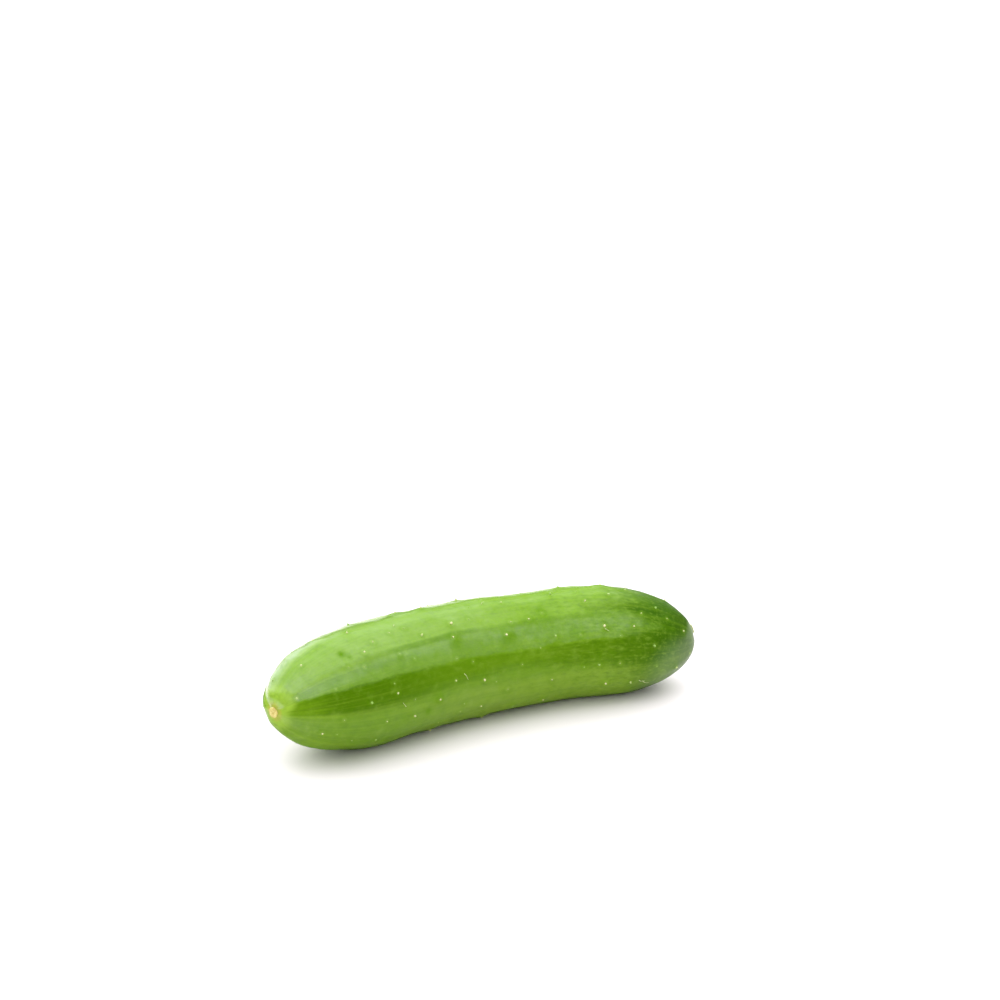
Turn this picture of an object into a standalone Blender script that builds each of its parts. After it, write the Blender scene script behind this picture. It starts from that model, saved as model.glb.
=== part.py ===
"""A mini cucumber lying on its side, grown in one piece.

The frame's origin is on the surface that the fruit lies on, under the middle of its box.
+X runs from the blossom end to the stem end, +Z is up, and the fruit arches towards +Y.

A place on the skin has a turn, the share of the way over the skin from the blossom tip (0)
to the stem tip (1), and an angle round the fruit: 0 faces +Y, 90 is the top, 180 faces -Y
and 270 is the belly. A station is a share of the way along the middle line.
"""

import math
import random

import bmesh
import bpy
import numpy as np
from mathutils import Vector

NAME = "mini_cucumber"

# The fruit as a whole, in metres, degrees and shares
LENGTH = 0.120
HALF_THICKNESS = 0.0146
BEND = 46.0
UNEVEN_BEND = -20.0
TAPER = 0.22
LONG_SWELL = 0.017
SHORT_SWELL = 0.012
MIDDLE = (0.0, 0.00255)

# The rounded ends: the share of the length that each takes, and how full it is
BLOSSOM_ROUND = 0.27
BLOSSOM_FULLNESS = 1.85
STEM_ROUND = 0.18
STEM_FULLNESS = 2.1

# The flat spot that the belly rests on
BELLY_SINK = 0.00035

# Shallow ribs along the fruit, and the soft three-sided form of its section
RIBS = 7
RIB_SHARE = 0.011
RIB_EDGE = 0.25
FIRST_RIDGE = 1.0
BLOSSOM_FURROWS = 0.4
FURROW_REACH = 0.06
LOBE_SHARE = 0.007
LOBE_ANGLE = 20.0

# Slow waves of the surface, as waves along, waves round and phase
WAVER = 0.0001
WAVER_WAVES = ((23.0, 2.0, 0.0), (31.0, -3.0, 1.0))

# The corky scar at the blossom end
SCAR_RISE = 0.0004
SCAR_RADIUS = 0.0016
SCAR_HOLLOW = 0.0005
SCAR_HOLLOW_RADIUS = 0.0030

# The dimple at the stem end, where its middle is beside and above the tip, and its folds
DIMPLE_ASIDE = 0.0030
DIMPLE_UP = 0.0016
DIMPLE_DEPTH = 0.0008
DIMPLE_RADIUS = 0.0027
FOLDS = 9
FOLD_DEPTH = 0.00010
FOLD_RADIUS = 0.0026

# The stub of the stalk, in the dimple
STUB_RADIUS = 0.0016
STUB_TOP_RADIUS = 0.0014
STUB_HEIGHT = 0.0010
STUB_ROOT = 0.0025
STUB_SIDES = 12

# Warts and spines
SEED = 11
SCATTERED = 92
GOLDEN_ANGLE = 137.508
ANGLE_SCATTER = 14.0
TURN_SCATTER = 0.036
TURN_LIMITS = (0.03, 0.96)
WART_HEIGHT = (0.00008, 0.00030)
WART_WIDTH = (0.0012, 0.0020)
BELLY = 270.0
BELLY_CLEAR = 42.0
APART = 0.006
SPINE_RADIUS = 0.00036
SPINE_TIP_RADIUS = 0.00020
SPINE_LENGTH = (0.0003, 0.0006)
SPINE_ROOT = 0.0007
SPINE_SIDES = 4
SPINE_LEAN = 0.30

# The boldest warts, as station, angle and height of the wart
BOLD_WARTS = (
    (0.417, 118, 0.00045),
    (0.405, 132, 0.00040),
    (0.395, 80, 0.00050),
    (0.344, 72, 0.00045),
    (0.536, 139, 0.00050),
    (0.602, 126, 0.00030),
    (0.745, 113, 0.00030),
    (0.801, 77, 0.00045),
    (0.775, 143, 0.00030),
    (0.341, 186, 0.00045),
    (0.461, 178, 0.00035),
    (0.359, 240, 0.00040),
    (0.492, 240, 0.00045),
    (0.629, 222, 0.00035),
    (0.775, 206, 0.00030),
    (0.189, 122, 0.00030),
    (0.147, 66, 0.00015),
    (0.062, 207, 0.00015),
    (0.970, 140, 0.00020),
)

# Mesh of the skin
SEGMENTS = 60
RINGS = 76
TIP_CROWDING = 0.5
TABLE_STEPS = 1200
LOOK_ASIDE = 0.002

SKIN_COLOUR = (0.20, 0.40, 0.06, 1.0)
SKIN_ROUGHNESS = 0.38


def middle_line():
    """Points and headings of the middle line in plan, at even stations.

    The heading turns steadily from one end to the other, with a second-order term that
    makes the blossom half curve more than the stem half, or less.
    """
    station = np.linspace(0.0, 1.0, TABLE_STEPS + 1)
    off = station - 0.5
    heading = np.radians(-BEND * off + UNEVEN_BEND * (off**2 - 1.0 / 12.0))
    half_way = 0.5 * (heading[1:] + heading[:-1])
    step = LENGTH / TABLE_STEPS
    x = np.concatenate([[0.0], np.cumsum(np.cos(half_way))]) * step
    y = np.concatenate([[0.0], np.cumsum(np.sin(half_way))]) * step
    middle = TABLE_STEPS // 2
    return station, x - x[middle] + MIDDLE[0], y - y[middle] + MIDDLE[1], heading


def barrel(station):
    """Thickness away from the ends, as a share: a taper towards the stem and two swells."""
    taper = 1.0 - TAPER * (station - 0.5)
    return (taper + LONG_SWELL * np.cos(3.0 * np.pi * station)
            + SHORT_SWELL * np.cos(5.0 * np.pi * station))


def rounding(station):
    """Share of the thickness that the rounded ends leave: 1 between them, 0 at the tips."""
    into_blossom = np.clip(1.0 - station / BLOSSOM_ROUND, 0.0, 1.0)
    into_stem = np.clip(1.0 - (1.0 - station) / STEM_ROUND, 0.0, 1.0)
    return np.sqrt((1.0 - into_blossom**BLOSSOM_FULLNESS)
                   * (1.0 - into_stem**STEM_FULLNESS))


def outline():
    """Station, half thickness and turn along the outline, and its length over the skin."""
    station = 0.5 - 0.5 * np.cos(np.linspace(0.0, np.pi, TABLE_STEPS + 1))
    section = HALF_THICKNESS * barrel(station) * rounding(station)
    way = np.hypot(np.diff(station) * LENGTH, np.diff(section))
    turn = np.concatenate([[0.0], np.cumsum(way)])
    return station, section, turn / turn[-1], turn[-1]


LINE_STATION, LINE_X, LINE_Y, LINE_HEADING = middle_line()
OUTLINE_STATION, OUTLINE_SECTION, OUTLINE_TURN, SKIN_LENGTH = outline()


def scattered_warts():
    """Turn, angle, height and width of every wart.

    The bold ones come first. The others follow a golden spiral over the skin, so that each
    has an equal area, and are then shifted a little at random. None is on the belly, and
    none is close to a bold one.
    """
    draw = random.Random(SEED)
    warts = []
    for station, angle, height in BOLD_WARTS:
        turn = np.interp(station, OUTLINE_STATION, OUTLINE_TURN)
        warts.append((turn, math.radians(angle), height, WART_WIDTH[1]))
    area = np.cumsum(OUTLINE_SECTION * np.gradient(OUTLINE_TURN))
    area /= area[-1]
    for number in range(SCATTERED):
        turn = np.interp((number + 0.5) / SCATTERED, area, OUTLINE_TURN)
        turn += draw.uniform(-TURN_SCATTER, TURN_SCATTER)
        turn = min(max(turn, TURN_LIMITS[0]), TURN_LIMITS[1])
        angle = (number * GOLDEN_ANGLE + draw.uniform(-ANGLE_SCATTER, ANGLE_SCATTER)) % 360.0
        height = draw.uniform(*WART_HEIGHT)
        width = draw.uniform(*WART_WIDTH)
        if abs(angle - BELLY) < BELLY_CLEAR:
            continue
        section = np.interp(turn, OUTLINE_TURN, OUTLINE_SECTION)
        gaps = [math.hypot((turn - other[0]) * SKIN_LENGTH,
                           section * wrapped(math.radians(angle) - other[1]))
                for other in warts[:len(BOLD_WARTS)]]
        if min(gaps) > APART:
            warts.append((turn, math.radians(angle), height, width))
    return warts


def wrapped(angle):
    """An angle in radians brought to between minus and plus half a turn."""
    return (angle + math.pi) % (2.0 * math.pi) - math.pi


def skin(turn, angle, warts):
    """Points of the skin at arrays of turn and angle.

    Each is the middle line's point, plus the section's radius in the direction of the angle,
    plus a shift along the fruit at the two ends. The radius has ribs, three soft lobes, a
    slow waver, and a bell-shaped bump for each wart. The belly is flat at z = 0.
    """
    station = np.interp(turn, OUTLINE_TURN, OUTLINE_STATION)
    section = np.interp(turn, OUTLINE_TURN, OUTLINE_SECTION)
    heading = np.interp(station, LINE_STATION, LINE_HEADING)

    wave = RIBS * (angle - math.radians(FIRST_RIDGE))
    rib_share = RIB_SHARE * (1.0 + BLOSSOM_FURROWS * np.exp(-station / FURROW_REACH))
    ribs = rib_share * (np.cos(wave) + RIB_EDGE * np.cos(2.0 * wave))
    lobes = LOBE_SHARE * np.cos(3.0 * (angle - math.radians(LOBE_ANGLE)))
    radius = section * (1.0 + ribs + lobes)
    for along, around, phase in WAVER_WAVES:
        radius += WAVER * np.sin(along * station + around * angle + phase) * rounding(station)
    for wart_turn, wart_angle, height, width in warts:
        along = (turn - wart_turn) * SKIN_LENGTH
        around = section * wrapped(angle - wart_angle)
        radius += height * np.exp(-(along**2 + around**2) / width**2)

    scar = SCAR_RISE * np.exp(-(section / SCAR_RADIUS) ** 4)
    hollow = SCAR_HOLLOW * np.exp(-(section / SCAR_HOLLOW_RADIUS) ** 2)
    aside = section * np.cos(angle) - DIMPLE_ASIDE
    above = section * np.sin(angle) - DIMPLE_UP
    dimple = DIMPLE_DEPTH * np.exp(-(aside**2 + above**2) / DIMPLE_RADIUS**2)
    fold_place = (aside**2 + above**2) / FOLD_RADIUS**2
    fold_wave = np.cos(FOLDS * np.arctan2(above, aside))
    folds = FOLD_DEPTH * fold_place * np.exp(1.0 - fold_place) * fold_wave
    shift = np.where(station < 0.5, hollow - scar, folds - dimple)

    x = np.interp(station, LINE_STATION, LINE_X)
    y = np.interp(station, LINE_STATION, LINE_Y)
    z = HALF_THICKNESS * barrel(station) - BELLY_SINK
    sideways = radius * np.cos(angle)
    return np.stack([
        x - sideways * np.sin(heading) + shift * np.cos(heading),
        y + sideways * np.cos(heading) + shift * np.sin(heading),
        np.maximum(z + radius * np.sin(angle), 0.0),
    ], axis=-1)


def mesh_object(name, bm, collection):
    """An object in a collection, from a bmesh that is used up."""
    mesh = bpy.data.meshes.new(name)
    bm.to_mesh(mesh)
    bm.free()
    made = bpy.data.objects.new(name, mesh)
    collection.objects.link(made)
    return made


def make_body(collection, warts):
    """The fruit's skin: a sphere whose rings are led along the outline, tip to tip."""
    bm = bmesh.new()
    bmesh.ops.create_uvsphere(bm, u_segments=SEGMENTS, v_segments=RINGS, radius=1.0)
    sphere = np.array([vertex.co for vertex in bm.verts])
    ring = np.arccos(np.clip(sphere[:, 2], -1.0, 1.0)) / np.pi
    turn = ring - TIP_CROWDING * np.sin(2.0 * np.pi * ring) / (2.0 * np.pi)
    angle = np.arctan2(sphere[:, 1], sphere[:, 0]) % (2.0 * np.pi)
    for vertex, point in zip(bm.verts, skin(turn, angle, warts)):
        vertex.co = point
    bmesh.ops.recalc_face_normals(bm, faces=bm.faces)
    return mesh_object(NAME, bm, collection)


def foot_and_normal(turn, angle, warts):
    """The skin's point at one turn and angle, and the way out of the skin there."""
    turns = np.array([turn, turn + LOOK_ASIDE, turn - LOOK_ASIDE, turn, turn])
    angles = np.array([angle, angle, angle, angle + LOOK_ASIDE, angle - LOOK_ASIDE])
    here, ahead, behind, left, right = (Vector(point) for point in skin(turns, angles, warts))
    return here, (left - right).cross(ahead - behind).normalized()


def make_cone(name, collection, foot, way, sizes):
    """A few-sided cone from below the foot to above it, along a way.

    sizes are its root's and tip's radius, its depth below the foot, its height above the
    foot, and its number of sides.
    """
    root_radius, tip_radius, root, height, sides = sizes
    bm = bmesh.new()
    bmesh.ops.create_cone(bm, cap_ends=True, segments=sides, radius1=root_radius,
                          radius2=tip_radius, depth=root + height)
    bmesh.ops.rotate(bm, verts=bm.verts, matrix=way.to_track_quat("Z", "Y").to_matrix())
    bmesh.ops.translate(bm, verts=bm.verts, vec=foot + way * (0.5 * (height - root)))
    return mesh_object(name, bm, collection)


def make_spines(collection, warts):
    """One short spine on each wart, leaning a little from the skin's normal."""
    draw = random.Random(SEED)
    for number, (turn, angle, height, width) in enumerate(warts):
        foot, normal = foot_and_normal(turn, angle, warts)
        lean = Vector((draw.gauss(0.0, 1.0), draw.gauss(0.0, 1.0), draw.gauss(0.0, 1.0)))
        way = (normal + SPINE_LEAN * lean.normalized()).normalized()
        sizes = (SPINE_RADIUS, SPINE_TIP_RADIUS, SPINE_ROOT, draw.uniform(*SPINE_LENGTH),
                 SPINE_SIDES)
        make_cone(f"spine_{number}", collection, foot, way, sizes)


def make_stub(collection):
    """The stub of the stalk, in the dimple of the stem end."""
    stem_half = OUTLINE_STATION > 0.5
    away = math.hypot(DIMPLE_ASIDE, DIMPLE_UP)
    turn = np.interp(-away, -OUTLINE_SECTION[stem_half], OUTLINE_TURN[stem_half])
    foot, way = foot_and_normal(turn, math.atan2(DIMPLE_UP, DIMPLE_ASIDE), [])
    sizes = (STUB_RADIUS, STUB_TOP_RADIUS, STUB_ROOT, STUB_HEIGHT, STUB_SIDES)
    make_cone("stub", collection, foot, way, sizes)


def join(body, collection):
    """Join everything in a collection to the body, and remove the collection."""
    union = body.modifiers.new("join", "BOOLEAN")
    union.operation = "UNION"
    union.operand_type = "COLLECTION"
    union.collection = collection
    union.solver = "EXACT"
    bpy.context.view_layer.objects.active = body
    body.select_set(True)
    bpy.ops.object.modifier_apply(modifier=union.name)
    for joined in list(collection.objects):
        bpy.data.objects.remove(joined, do_unlink=True)
    bpy.data.collections.remove(collection)


def skin_material():
    """Waxy green skin."""
    material = bpy.data.materials.new("cucumber skin")
    material.use_nodes = True
    shader = material.node_tree.nodes["Principled BSDF"]
    shader.inputs["Base Color"].default_value = SKIN_COLOUR
    shader.inputs["Roughness"].default_value = SKIN_ROUGHNESS
    shader.inputs["Metallic"].default_value = 0.0
    return material


def main():
    """Clear the scene and make the cucumber."""
    for old in list(bpy.data.objects):
        bpy.data.objects.remove(old, do_unlink=True)
    parts = bpy.data.collections.new("mini cucumber")
    repeats = bpy.data.collections.new("repeats")
    bpy.context.scene.collection.children.link(parts)
    bpy.context.scene.collection.children.link(repeats)
    warts = scattered_warts()
    body = make_body(parts, warts)
    make_spines(repeats, warts)
    make_stub(repeats)
    join(body, repeats)
    body.data.materials.clear()
    body.data.materials.append(skin_material())
    body.data.shade_smooth()
    corners = np.array([vertex.co for vertex in body.data.vertices])
    print("lowest corner", corners.min(axis=0), "highest corner", corners.max(axis=0))
    print("warts", len(warts), "faces", len(body.data.polygons))


main()
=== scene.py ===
# %% [markdown]
# # Dressing a mini cucumber
# The construction script gives the fruit as one plain solid. This lesson gives it the skin of a
# real one: a fine surface with ribs, warts and wrinkles, tiny spines, the corky scar where the
# flower was, the stub of the stalk, and finishes for each. The imported solid is loaded first, so
# that everything is made where it lies.

# %% Load the imported solid
import math
import random

import bpy
import numpy as np
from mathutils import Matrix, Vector


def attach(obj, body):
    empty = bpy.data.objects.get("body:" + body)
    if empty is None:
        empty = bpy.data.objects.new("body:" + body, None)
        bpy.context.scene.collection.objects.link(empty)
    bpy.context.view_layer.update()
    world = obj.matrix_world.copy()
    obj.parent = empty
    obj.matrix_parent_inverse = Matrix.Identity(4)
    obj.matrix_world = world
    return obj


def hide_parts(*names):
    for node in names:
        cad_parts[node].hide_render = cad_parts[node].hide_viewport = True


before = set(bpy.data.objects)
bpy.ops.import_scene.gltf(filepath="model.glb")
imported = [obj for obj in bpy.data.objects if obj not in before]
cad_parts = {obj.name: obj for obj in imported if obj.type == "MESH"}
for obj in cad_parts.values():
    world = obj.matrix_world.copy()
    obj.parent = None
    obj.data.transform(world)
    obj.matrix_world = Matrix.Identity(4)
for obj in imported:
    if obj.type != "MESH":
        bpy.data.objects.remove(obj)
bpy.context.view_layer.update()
FRUIT_NODE = "mini_cucumber"

# %% [markdown]
# ## The form of the fruit
# A cucumber is a bent, tapered barrel with two rounded ends. It could be sculpted, or modelled
# from a cage of points. A formula suits it better: every size keeps its meaning, and the same
# formula tells later where a wart or a spine stands. A place on the skin is named by its turn,
# the share of the way over the skin from the blossom tip (0) to the stem tip (1), and by its
# angle round the fruit: 0 faces +Y, 90 degrees is the top, 180 faces -Y and 270 is the belly.
# A station is a share of the way along the middle line.

# %% Sizes of the whole fruit, in metres, degrees and shares
LENGTH = 0.120
HALF_THICKNESS = 0.0146
BEND = 46.0
UNEVEN_BEND = -20.0
TAPER = 0.22
LONG_SWELL = 0.017
SHORT_SWELL = 0.012
MIDDLE = (0.0, 0.00255)
BELLY_SINK = 0.00035
BLOSSOM_ROUND, BLOSSOM_FULLNESS = 0.27, 1.85
STEM_ROUND, STEM_FULLNESS = 0.18, 2.1
STEPS = 2400

# %% [markdown]
# The middle line lies level. Its heading turns evenly from one end to the other, and adding up
# short steps in the direction of the heading gives its points. numpy's cumulative sum does that
# for the whole line at once.

# %% The middle line in plan
line_station = np.linspace(0.0, 1.0, STEPS + 1)
off_middle = line_station - 0.5
line_heading = np.radians(-BEND * off_middle + UNEVEN_BEND * (off_middle**2 - 1.0 / 12.0))
half_way = 0.5 * (line_heading[1:] + line_heading[:-1])
line_x = np.concatenate([[0.0], np.cumsum(np.cos(half_way))]) * LENGTH / STEPS
line_y = np.concatenate([[0.0], np.cumsum(np.sin(half_way))]) * LENGTH / STEPS
line_x += MIDDLE[0] - line_x[STEPS // 2]
line_y += MIDDLE[1] - line_y[STEPS // 2]
print("the middle line turns", round(float(np.degrees(line_heading[0] - line_heading[-1])), 1),
      "degrees")

# %% [markdown]
# The outline is the barrel's thickness times the rounding of the ends. Near a tip the thickness
# changes much faster than the station, so places are counted along the skin instead. That way
# the tips get as many rings as the rest, and a round tip stays round.

# %% The outline


def barrel(station):
    """Thickness away from the ends, as a share: a taper towards the stem and two swells."""
    taper = 1.0 - TAPER * (station - 0.5)
    return (taper + LONG_SWELL * np.cos(3.0 * np.pi * station)
            + SHORT_SWELL * np.cos(5.0 * np.pi * station))


def rounding(station):
    """Share of the thickness that the rounded ends leave: 1 between them, 0 at the tips."""
    into_blossom = np.clip(1.0 - station / BLOSSOM_ROUND, 0.0, 1.0)
    into_stem = np.clip(1.0 - (1.0 - station) / STEM_ROUND, 0.0, 1.0)
    return np.sqrt((1.0 - into_blossom**BLOSSOM_FULLNESS) * (1.0 - into_stem**STEM_FULLNESS))


outline_station = 0.5 - 0.5 * np.cos(np.linspace(0.0, np.pi, STEPS + 1))
outline_section = HALF_THICKNESS * barrel(outline_station) * rounding(outline_station)
outline_way = np.hypot(np.diff(outline_station) * LENGTH, np.diff(outline_section))
outline_turn = np.concatenate([[0.0], np.cumsum(outline_way)])
SKIN_LENGTH = outline_turn[-1]
outline_turn /= SKIN_LENGTH
print("tip to tip over the skin:", round(SKIN_LENGTH * 1000.0, 1), "mm")

# %% [markdown]
# ## Where the warts are
# Each spine of a young cucumber stands on a small wart. They look scattered, but every part of
# the skin has about as many. Plain random places would leave gaps and heaps, so the places
# follow a golden spiral, which gives each an equal area, and are then shifted at random. The
# boldest few are listed one by one, where the real fruit shows them. The belly has none, as
# they wear off there.

# %% Places of the warts
SEED = 11
SCATTERED = 92
GOLDEN_ANGLE = 137.508
ANGLE_SCATTER = 14.0
TURN_SCATTER = 0.036
TURN_LIMITS = (0.03, 0.96)
WART_HEIGHT = (0.00008, 0.00030)
WART_WIDTH = (0.0012, 0.0020)
BELLY = 270.0
BELLY_CLEAR = 42.0
APART = 0.006
BOLD_WARTS = (
    (0.417, 118, 0.00045),
    (0.405, 132, 0.00040),
    (0.395, 80, 0.00050),
    (0.344, 72, 0.00045),
    (0.536, 139, 0.00050),
    (0.602, 126, 0.00030),
    (0.745, 113, 0.00030),
    (0.801, 77, 0.00045),
    (0.775, 143, 0.00030),
    (0.341, 186, 0.00045),
    (0.461, 178, 0.00035),
    (0.359, 240, 0.00040),
    (0.492, 240, 0.00045),
    (0.629, 222, 0.00035),
    (0.775, 206, 0.00030),
    (0.189, 122, 0.00030),
    (0.147, 66, 0.00015),
    (0.062, 207, 0.00015),
    (0.970, 140, 0.00020),
)


def wrapped(angle):
    """An angle in radians brought to between minus and plus half a turn."""
    return (angle + math.pi) % (2.0 * math.pi) - math.pi


def gap(turn, angle, other):
    """Distance over the skin from a turn and angle to another wart."""
    section = np.interp(turn, outline_turn, outline_section)
    return math.hypot((turn - other[0]) * SKIN_LENGTH, section * wrapped(angle - other[1]))


def scatter(count, draw, taken, apart, heights):
    """Warts on a golden spiral over the skin, each shifted a little.

    The spiral's turns are where equal shares of the skin's area have been passed, and each
    angle is the golden angle past the last. None is on the belly or close to one taken.
    """
    area = np.cumsum(outline_section * np.gradient(outline_turn))
    area /= area[-1]
    made = []
    for number in range(count):
        turn = np.interp((number + 0.5) / count, area, outline_turn)
        turn += draw.uniform(-TURN_SCATTER, TURN_SCATTER)
        turn = min(max(turn, TURN_LIMITS[0]), TURN_LIMITS[1])
        angle = (number * GOLDEN_ANGLE + draw.uniform(-ANGLE_SCATTER, ANGLE_SCATTER)) % 360.0
        height = draw.uniform(*heights)
        width = draw.uniform(*WART_WIDTH)
        if abs(angle - BELLY) < BELLY_CLEAR:
            continue
        if min(gap(turn, math.radians(angle), other) for other in taken) > apart:
            made.append((turn, math.radians(angle), height, width))
    return made


bold = [(np.interp(station, outline_station, outline_turn), math.radians(angle), height,
         WART_WIDTH[1]) for station, angle, height in BOLD_WARTS]
warts = bold + scatter(SCATTERED, random.Random(SEED), bold, APART, WART_HEIGHT)
print(len(warts), "warts as in the solid")

# %% [markdown]
# The real skin has about as many smaller ones again, too small for the solid. They are scattered
# the same way from another seed, clear of the first.

# %% The small warts
SMALL_SEED = 23
SMALL_SCATTERED = 150
SMALL_APART = 0.0035
SMALL_HEIGHT = (0.00002, 0.00010)
small_warts = scatter(SMALL_SCATTERED, random.Random(SMALL_SEED), warts, SMALL_APART,
                      SMALL_HEIGHT)
all_warts = np.array(warts + small_warts)
print(len(small_warts), "small warts between them")

# %% [markdown]
# ## The skin as one formula
# Everything that shows on the outline belongs in the shape and not in a bump map: seven shallow
# ribs, the soft three-sided section, warts, slow dents, the furrows that run into the blossom
# scar and the folds of the dimple round the stalk. Each is one term of the radius, or a
# shift along the fruit near a tip, and every term is worked out for all points together.

# %% Ribs, ends and dents
RIBS, RIB_SHARE, RIB_EDGE, FIRST_RIDGE = 7, 0.011, 0.25, 1.0
BLOSSOM_FURROWS, FURROW_REACH = 0.4, 0.06
LOBE_SHARE, LOBE_ANGLE = 0.007, 20.0
WAVER = 0.0001
WAVER_WAVES = ((23.0, 2.0, 0.0), (31.0, -3.0, 1.0))
SCAR_RISE, SCAR_RADIUS = 0.0004, 0.0016
SCAR_HOLLOW, SCAR_HOLLOW_RADIUS = 0.0005, 0.0030
DIMPLE_ASIDE, DIMPLE_UP = 0.0030, 0.0016
DIMPLE_DEPTH, DIMPLE_RADIUS = 0.0008, 0.0027
FOLDS, FOLD_DEPTH, FOLD_RADIUS = 9, 0.00010, 0.0026
DENTS, DENT_SEED, DENT_TURNS = 26, 5, (0.08, 0.92)
DENT_DEPTH, DENT_WIDTH = (-0.00009, 0.00007), (0.003, 0.008)
RIPPLES, RIPPLE_LENGTH, RIPPLE_SLOPE, RIPPLE_SEED = 24, (2.5, 9.0), 0.011, 41

draw = random.Random(DENT_SEED)
dents = np.array([(draw.uniform(*DENT_TURNS), draw.uniform(0.0, 2.0 * math.pi),
                   draw.uniform(*DENT_DEPTH), draw.uniform(*DENT_WIDTH))
                  for number in range(DENTS)])
ripple_draw = np.random.default_rng(RIPPLE_SEED)
ripple_way = ripple_draw.normal(0.0, 1.0, (RIPPLES, 3))
ripple_way /= np.linalg.norm(ripple_way, axis=1, keepdims=True)
ripple_length = ripple_draw.uniform(*RIPPLE_LENGTH, RIPPLES)
ripple_phase = ripple_draw.uniform(0.0, 2.0 * math.pi, RIPPLES)


def rib_wave(angle):
    """Phase of the ribs: it is a whole turn from ridge to ridge."""
    return RIBS * (angle - math.radians(FIRST_RIDGE))


def bells(turn, angle, section, bumps):
    """Sum of bell curves: each bump's height times e to the minus squared distance over
    squared width, where the distance is measured over the skin."""
    total = np.zeros_like(turn)
    for bump_turn, bump_angle, height, width in bumps:
        along = (turn - bump_turn) * SKIN_LENGTH
        around = section * wrapped(angle - bump_angle)
        total += height * np.exp(-(along**2 + around**2) / width**2)
    return total


def straightened(turn, angle, section):
    """Where points of the skin would be if the fruit were straight, in millimetres."""
    return 1000.0 * np.stack([turn * SKIN_LENGTH, section * np.cos(angle),
                              section * np.sin(angle)], axis=-1)


def ripples(turn, angle, section):
    """A sum of plane waves in all directions, of one slope, over the straightened fruit."""
    place = straightened(turn, angle, section)
    total = np.zeros_like(turn)
    for way, length, phase in zip(ripple_way, ripple_length, ripple_phase):
        steepness = 2.0 * math.pi / length
        total += RIPPLE_SLOPE / steepness * np.sin(place @ way * steepness + phase)
    return total / 1000.0


def from_dimple(angle, section):
    """Distances aside of and above the dimple's middle, as seen from the stem end."""
    return section * np.cos(angle) - DIMPLE_ASIDE, section * np.sin(angle) - DIMPLE_UP


def skin(turn, angle):
    """Points of the skin at arrays of turn and angle.

    Each is the middle line's point, plus the radius in the direction of the angle, plus a
    shift along the fruit at the two ends. The belly is flat at z = 0.
    """
    station = np.interp(turn, outline_turn, outline_station)
    section = np.interp(turn, outline_turn, outline_section)
    heading = np.interp(station, line_station, line_heading)
    wave = rib_wave(angle)
    rib_share = RIB_SHARE * (1.0 + BLOSSOM_FURROWS * np.exp(-station / FURROW_REACH))
    ribs = rib_share * (np.cos(wave) + RIB_EDGE * np.cos(2.0 * wave))
    lobes = LOBE_SHARE * np.cos(3.0 * (angle - math.radians(LOBE_ANGLE)))
    radius = section * (1.0 + ribs + lobes)
    for along, around, phase in WAVER_WAVES:
        radius += WAVER * np.sin(along * station + around * angle + phase) * rounding(station)
    radius += bells(turn, angle, section, all_warts) + bells(turn, angle, section, dents)
    radius += ripples(turn, angle, section)
    scar = SCAR_RISE * np.exp(-(section / SCAR_RADIUS) ** 4)
    hollow = SCAR_HOLLOW * np.exp(-(section / SCAR_HOLLOW_RADIUS) ** 2)
    aside, above = from_dimple(angle, section)
    dimple = DIMPLE_DEPTH * np.exp(-(aside**2 + above**2) / DIMPLE_RADIUS**2)
    fold_place = (aside**2 + above**2) / FOLD_RADIUS**2
    fold_wave = np.cos(FOLDS * np.arctan2(above, aside))
    folds = FOLD_DEPTH * fold_place * np.exp(1.0 - fold_place) * fold_wave
    shift = np.where(station < 0.5, hollow - scar, folds - dimple)
    sideways = radius * np.cos(angle)
    x = np.interp(station, line_station, line_x)
    y = np.interp(station, line_station, line_y)
    z = HALF_THICKNESS * barrel(station) - BELLY_SINK
    return np.stack([
        x - sideways * np.sin(heading) + shift * np.cos(heading),
        y + sideways * np.cos(heading) + shift * np.sin(heading),
        np.maximum(z + radius * np.sin(angle), 0.0),
    ], axis=-1)


# %% [markdown]
# ## From arrays to a mesh
# All pieces here are closed surfaces of the same build: rings of points, with a single point at
# each end. A primitive sphere could be bent into them, but a grid keeps full control over
# where the rings lie. Several surfaces of one kind, such as all the spines, can share one mesh.

# %% Mesh helpers


def ring_faces(copies, rings, sides):
    """Faces of closed surfaces of rings: quads between neighbouring rings, and triangles to
    the points at both ends. Points are numbered ring by ring, then first end, last end."""
    size = rings * sides + 2
    ring, side = np.meshgrid(np.arange(rings - 1), np.arange(sides), indexing="ij")
    here = ring * sides + side
    beside = ring * sides + (side + 1) % sides
    quads = np.stack([here, beside, beside + sides, here + sides], axis=-1).reshape(-1, 4)
    side = np.arange(sides)
    beside = (side + 1) % sides
    last = (rings - 1) * sides
    first_end = np.stack([beside, side, np.full(sides, size - 2)], axis=-1)
    last_end = np.stack([last + side, last + beside, np.full(sides, size - 1)], axis=-1)
    offset = (np.arange(copies) * size)[:, None, None]
    quads = (quads[None] + offset).reshape(-1, 4)
    triangles = (np.concatenate([first_end, last_end])[None] + offset).reshape(-1, 3)
    return quads.tolist() + triangles.tolist()


def ring_points(rings, first_end, last_end):
    """Points of closed surfaces in the order of ring_faces. rings is an array of copies,
    rings, sides and xyz, and the ends are arrays of copies and xyz."""
    copies = rings.shape[0]
    return np.concatenate([rings.reshape(copies, -1, 3), first_end[:, None], last_end[:, None]],
                          axis=1).reshape(-1, 3)


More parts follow.
